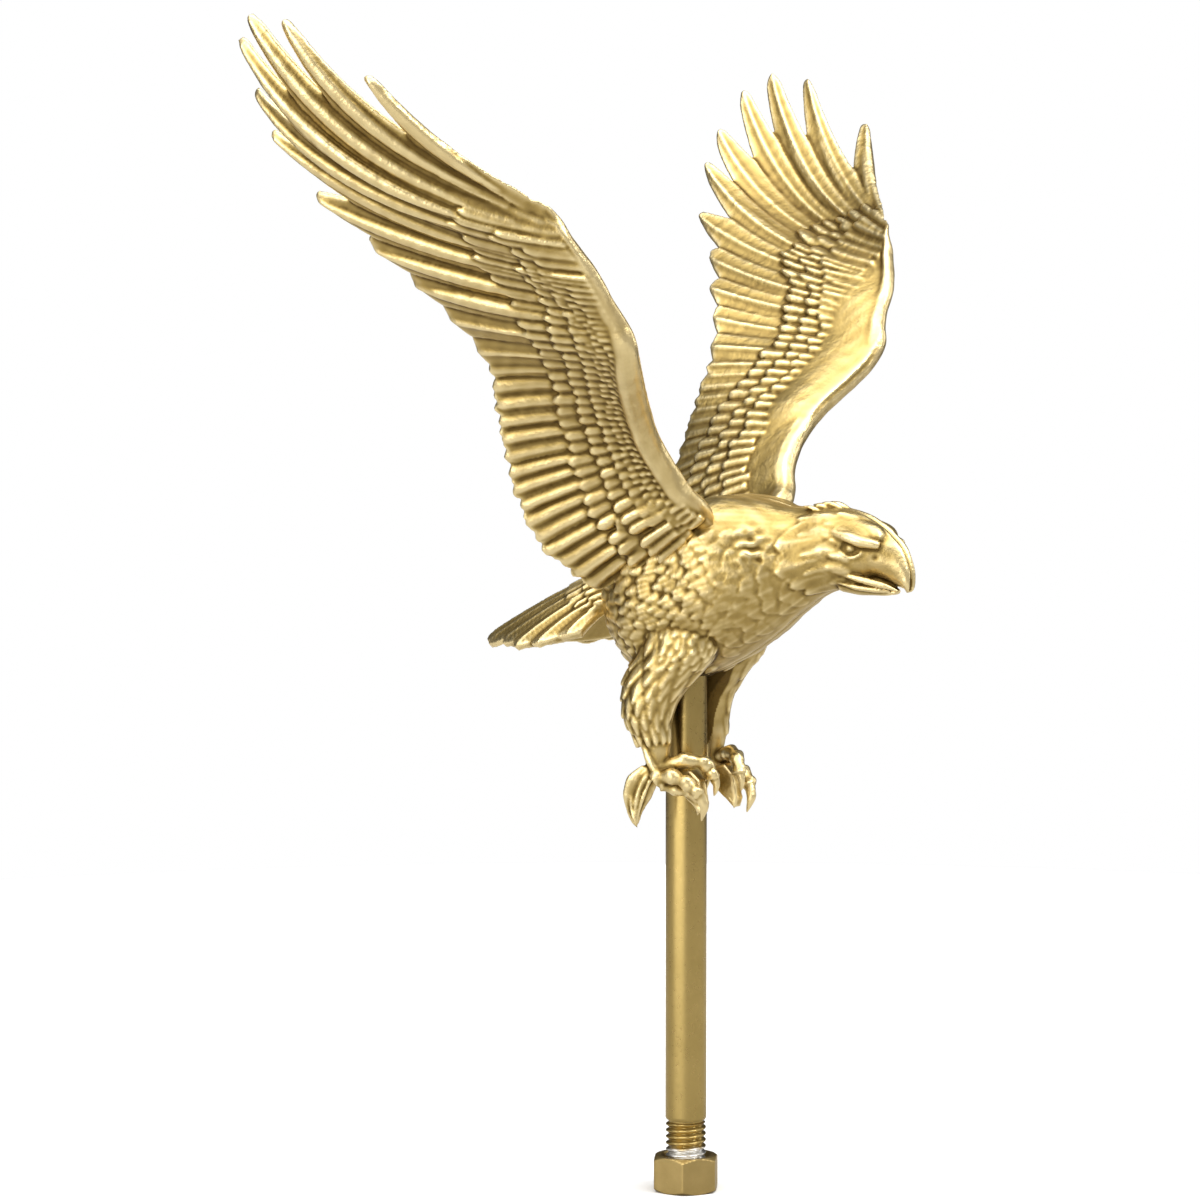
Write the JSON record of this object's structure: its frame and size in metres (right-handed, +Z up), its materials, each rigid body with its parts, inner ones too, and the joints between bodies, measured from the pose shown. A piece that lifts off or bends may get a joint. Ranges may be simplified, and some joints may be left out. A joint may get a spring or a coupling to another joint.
{
  "type": "flying eagle flagpole ornament",
  "caption": "Cast flying eagle with raised wings, perched on a round threaded spindle with a hex nut, made to stand on top of a flagpole.",
  "frame": {"origin": "centre of the spindle's lower end face", "axes": "+Z up along the spindle; the eagle faces -Y, and its own left side is +X"},
  "size_m": [0.304, 0.1492, 0.355],
  "materials": {
    "cast_gold": "cast metal with a satin gold finish, brighter on high spots",
    "rod_gold": "drawn rod with a smooth satin gold finish, bare metal on the last thread turns",
    "nut_gold": "steel nut with a satin gold finish",
    "steel": "plain bright steel fasteners"
  },
  "bodies": {
    "eagle": {"body_right_half": "cast_gold", "body_left_half": "cast_gold", "right_wing": "cast_gold", "left_wing": "cast_gold", "tail_fan": "cast_gold", "spindle": "rod_gold", "cross_pin": "steel", "tail_pin": "steel", "dowel_front": "steel", "dowel_rear": "steel", "halves_screw_front": "steel", "halves_screw_rear": "steel", "left_wing_screw_front": "steel", "left_wing_screw_rear": "steel", "right_wing_screw_front": "steel", "right_wing_screw_rear": "steel"},
    "nut": {"hex_nut": "nut_gold"}
  },
  "joints": [
    {"name": "nut_turn", "type": "hinge", "parent": "eagle", "child": "nut", "pos_m": [0, 0, 0.005], "axis": [0, 0, 1], "range_deg": [-2010, 1710]}
  ]
}
